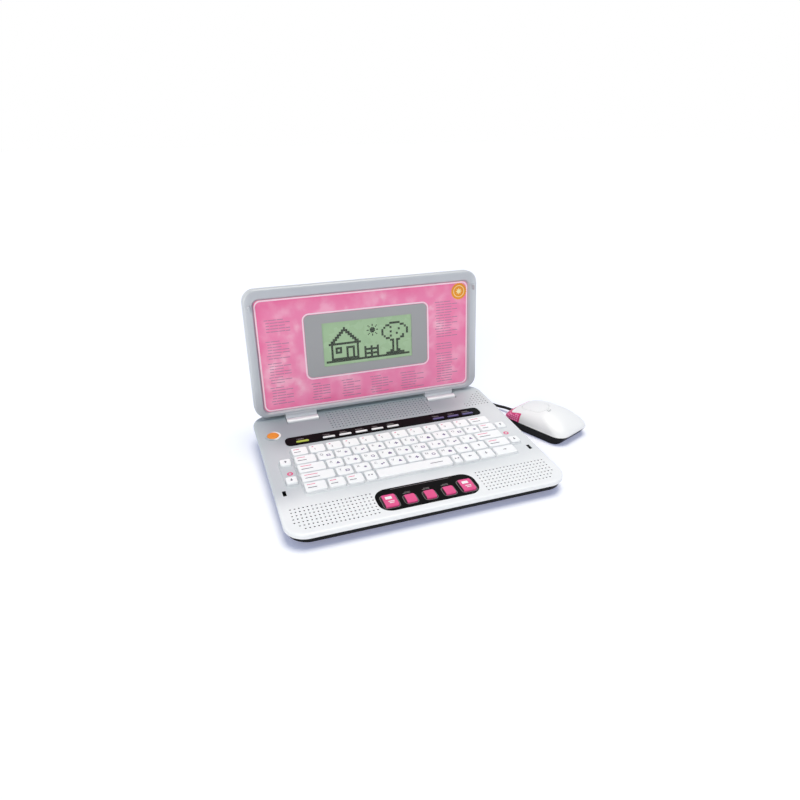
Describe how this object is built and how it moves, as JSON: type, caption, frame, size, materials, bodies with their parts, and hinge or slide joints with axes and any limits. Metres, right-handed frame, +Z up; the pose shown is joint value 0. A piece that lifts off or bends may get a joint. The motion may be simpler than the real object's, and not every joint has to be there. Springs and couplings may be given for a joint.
{
  "type": "toy laptop computer",
  "caption": "Toy laptop computer with a hinged display lid, a full keyboard of pressing keys, front panel buttons and a corded mouse.",
  "frame": {"origin": "middle of the base's footprint on the table", "axes": "+X to the user's right, +Y from the palm rest towards the hinge, +Z up"},
  "size_m": [0.3827, 0.3035, 0.1793],
  "materials": {
    "pearl_white": "satin pearl",
    "key_white": "satin",
    "bar_white": "gloss",
    "bar_green": "gloss",
    "bar_purple": "gloss",
    "black_gloss": "gloss",
    "black_shell": "fine texture",
    "pink": "gloss",
    "orange": "gloss",
    "lid_silver": "satin metallic",
    "printed_card": "printed",
    "window_grey": "satin",
    "display_green": "smooth",
    "circuit_board": "lacquered",
    "silicone": "matte",
    "black_rubber": "matte",
    "steel": "plain",
    "cell_jacket": "gloss",
    "speaker_metal": "matte"
  },
  "bodies": {
    "base": {"bottom_case": "black_shell", "top_case": "pearl_white", "function_strip": "black_gloss", "button_panel": "black_gloss", "key_membrane": "silicone", "main_board": "circuit_board", "speaker": "speaker_metal", "batteries": "cell_jacket", "battery_contacts": "steel", "battery_door": "black_shell", "battery_door_screw": "steel", "case_screws": "steel", "rubber_feet": "black_rubber", "hinge_pins": "steel", "cord_grommet": "black_rubber", "cord_to_case": "black_rubber", "cord_coil": "black_rubber", "cord_to_mouse": "black_rubber"},
    "lid": {"lid_front_frame": "lid_silver", "lid_back_cover": "lid_silver", "screen_inlay": "printed_card", "screen_mask": "window_grey", "lcd_panel": "display_green", "lcd_board": "circuit_board", "lid_screws": "steel"},
    "mouse": {"mouse_bottom": "black_shell", "mouse_top": "pearl_white", "mouse_nose": "pink", "mouse_board": "circuit_board", "mouse_feet": "black_rubber", "mouse_boot": "black_rubber"},
    "mouse_button": {"mouse_button": "pearl_white"},
    "escape_key": {"escape_key": "key_white"},
    "number_keys": {"number_keys": "key_white"},
    "backspace_key": {"backspace_key": "key_white"},
    "tab_key": {"tab_key": "key_white"},
    "upper_letter_keys": {"upper_letter_keys": "key_white"},
    "delete_key": {"delete_key": "key_white"},
    "caps_key": {"caps_key": "key_white"},
    "middle_letter_keys": {"middle_letter_keys": "key_white"},
    "enter_key": {"enter_key": "key_white"},
    "left_shift_key": {"left_shift_key": "key_white"},
    "lower_letter_keys": {"lower_letter_keys": "key_white"},
    "right_shift_key": {"right_shift_key": "key_white"},
    "control_key": {"control_key": "key_white"},
    "bottom_row_keys": {"bottom_row_keys": "key_white"},
    "space_bar": {"space_bar": "key_white"},
    "arrow_keys": {"arrow_keys": "key_white"},
    "left_side_keys": {"left_side_keys": "key_white"},
    "right_side_keys": {"right_side_keys": "key_white"},
    "mode_bar_key": {"mode_bar_key": "bar_green"},
    "activity_bar_keys": {"activity_bar_keys": "bar_white"},
    "player_bar_keys": {"player_bar_keys": "bar_purple"},
    "left_large_button": {"left_large_button": "pink"},
    "right_large_button": {"right_large_button": "pink"},
    "left_small_button": {"left_small_button": "pink"},
    "middle_small_button": {"middle_small_button": "pink"},
    "right_small_button": {"right_small_button": "pink"},
    "power_button": {"power_button": "orange"}
  },
  "joints": [
    {"name": "lid_hinge", "type": "hinge", "parent": "base", "child": "lid", "pos_m": [0, 0.09161, 0.02248], "axis": [1, 0, 0], "range_deg": [0, 98]},
    {"name": "mouse_slide", "type": "slide", "parent": "base", "child": "mouse", "axis": [-0.3907, 0.9205, 0], "range_m": [-0.03, 0.012], "deforming": ["cord_to_mouse"]},
    {"name": "mouse_button_press", "type": "slide", "parent": "mouse", "child": "mouse_button", "axis": [0, 0, -1], "range_m": [0, 0.001], "stiffness_N_per_m": 300, "springref_m": -0.001},
    {"name": "escape_key_press", "type": "slide", "parent": "base", "child": "escape_key", "axis": [0, 0.0488, -0.9988], "range_m": [0, 0.0018], "stiffness_N_per_m": 300, "springref_m": -0.001},
    {"name": "number_keys_press", "type": "slide", "parent": "base", "child": "number_keys", "axis": [0, 0.0488, -0.9988], "range_m": [0, 0.0018], "stiffness_N_per_m": 300, "springref_m": -0.001},
    {"name": "backspace_key_press", "type": "slide", "parent": "base", "child": "backspace_key", "axis": [0, 0.0488, -0.9988], "range_m": [0, 0.0018], "stiffness_N_per_m": 300, "springref_m": -0.001},
    {"name": "tab_key_press", "type": "slide", "parent": "base", "child": "tab_key", "axis": [0, 0.0488, -0.9988], "range_m": [0, 0.0018], "stiffness_N_per_m": 300, "springref_m": -0.001},
    {"name": "upper_letter_keys_press", "type": "slide", "parent": "base", "child": "upper_letter_keys", "axis": [0, 0.0488, -0.9988], "range_m": [0, 0.0018], "stiffness_N_per_m": 300, "springref_m": -0.001},
    {"name": "delete_key_press", "type": "slide", "parent": "base", "child": "delete_key", "axis": [0, 0.0488, -0.9988], "range_m": [0, 0.0018], "stiffness_N_per_m": 300, "springref_m": -0.001},
    {"name": "caps_key_press", "type": "slide", "parent": "base", "child": "caps_key", "axis": [0, 0.0488, -0.9988], "range_m": [0, 0.0018], "stiffness_N_per_m": 300, "springref_m": -0.001},
    {"name": "middle_letter_keys_press", "type": "slide", "parent": "base", "child": "middle_letter_keys", "axis": [0, 0.0488, -0.9988], "range_m": [0, 0.0018], "stiffness_N_per_m": 300, "springref_m": -0.001},
    {"name": "enter_key_press", "type": "slide", "parent": "base", "child": "enter_key", "axis": [0, 0.0488, -0.9988], "range_m": [0, 0.0018], "stiffness_N_per_m": 300, "springref_m": -0.001},
    {"name": "left_shift_key_press", "type": "slide", "parent": "base", "child": "left_shift_key", "axis": [0, 0.0488, -0.9988], "range_m": [0, 0.0018], "stiffness_N_per_m": 300, "springref_m": -0.001},
    {"name": "lower_letter_keys_press", "type": "slide", "parent": "base", "child": "lower_letter_keys", "axis": [0, 0.0488, -0.9988], "range_m": [0, 0.0018], "stiffness_N_per_m": 300, "springref_m": -0.001},
    {"name": "right_shift_key_press", "type": "slide", "parent": "base", "child": "right_shift_key", "axis": [0, 0.0488, -0.9988], "range_m": [0, 0.0018], "stiffness_N_per_m": 300, "springref_m": -0.001},
    {"name": "control_key_press", "type": "slide", "parent": "base", "child": "control_key", "axis": [0, 0.0488, -0.9988], "range_m": [0, 0.0018], "stiffness_N_per_m": 300, "springref_m": -0.001},
    {"name": "bottom_row_keys_press", "type": "slide", "parent": "base", "child": "bottom_row_keys", "axis": [0, 0.0488, -0.9988], "range_m": [0, 0.0018], "stiffness_N_per_m": 300, "springref_m": -0.001},
    {"name": "space_bar_press", "type": "slide", "parent": "base", "child": "space_bar", "axis": [0, 0.0488, -0.9988], "range_m": [0, 0.0018], "stiffness_N_per_m": 300, "springref_m": -0.001},
    {"name": "arrow_keys_press", "type": "slide", "parent": "base", "child": "arrow_keys", "axis": [0, 0.0488, -0.9988], "range_m": [0, 0.0018], "stiffness_N_per_m": 300, "springref_m": -0.001},
    {"name": "left_side_keys_press", "type": "slide", "parent": "base", "child": "left_side_keys", "axis": [0, 0.0488, -0.9988], "range_m": [0, 0.0018], "stiffness_N_per_m": 300, "springref_m": -0.001},
    {"name": "right_side_keys_press", "type": "slide", "parent": "base", "child": "right_side_keys", "axis": [0, 0.0488, -0.9988], "range_m": [0, 0.0018], "stiffness_N_per_m": 300, "springref_m": -0.001},
    {"name": "mode_bar_key_press", "type": "slide", "parent": "base", "child": "mode_bar_key", "axis": [0, 0.0488, -0.9988], "range_m": [0, 0.0008], "stiffness_N_per_m": 300, "springref_m": -0.001},
    {"name": "activity_bar_keys_press", "type": "slide", "parent": "base", "child": "activity_bar_keys", "axis": [0, 0.0488, -0.9988], "range_m": [0, 0.0008], "stiffness_N_per_m": 300, "springref_m": -0.001},
    {"name": "player_bar_keys_press", "type": "slide", "parent": "base", "child": "player_bar_keys", "axis": [0, 0.0488, -0.9988], "range_m": [0, 0.0008], "stiffness_N_per_m": 300, "springref_m": -0.001},
    {"name": "left_large_button_press", "type": "slide", "parent": "base", "child": "left_large_button", "axis": [0, 0.0488, -0.9988], "range_m": [0, 0.0012], "stiffness_N_per_m": 300, "springref_m": -0.001},
    {"name": "right_large_button_press", "type": "slide", "parent": "base", "child": "right_large_button", "axis": [0, 0.0488, -0.9988], "range_m": [0, 0.0012], "stiffness_N_per_m": 300, "springref_m": -0.001},
    {"name": "left_small_button_press", "type": "slide", "parent": "base", "child": "left_small_button", "axis": [0, 0.0488, -0.9988], "range_m": [0, 0.0012], "stiffness_N_per_m": 300, "springref_m": -0.001},
    {"name": "middle_small_button_press", "type": "slide", "parent": "base", "child": "middle_small_button", "axis": [0, 0.0488, -0.9988], "range_m": [0, 0.0012], "stiffness_N_per_m": 300, "springref_m": -0.001},
    {"name": "right_small_button_press", "type": "slide", "parent": "base", "child": "right_small_button", "axis": [0, 0.0488, -0.9988], "range_m": [0, 0.0012], "stiffness_N_per_m": 300, "springref_m": -0.001},
    {"name": "power_button_press", "type": "slide", "parent": "base", "child": "power_button", "axis": [0, 0.0488, -0.9988], "range_m": [0, 0.001], "stiffness_N_per_m": 300, "springref_m": -0.001}
  ]
}
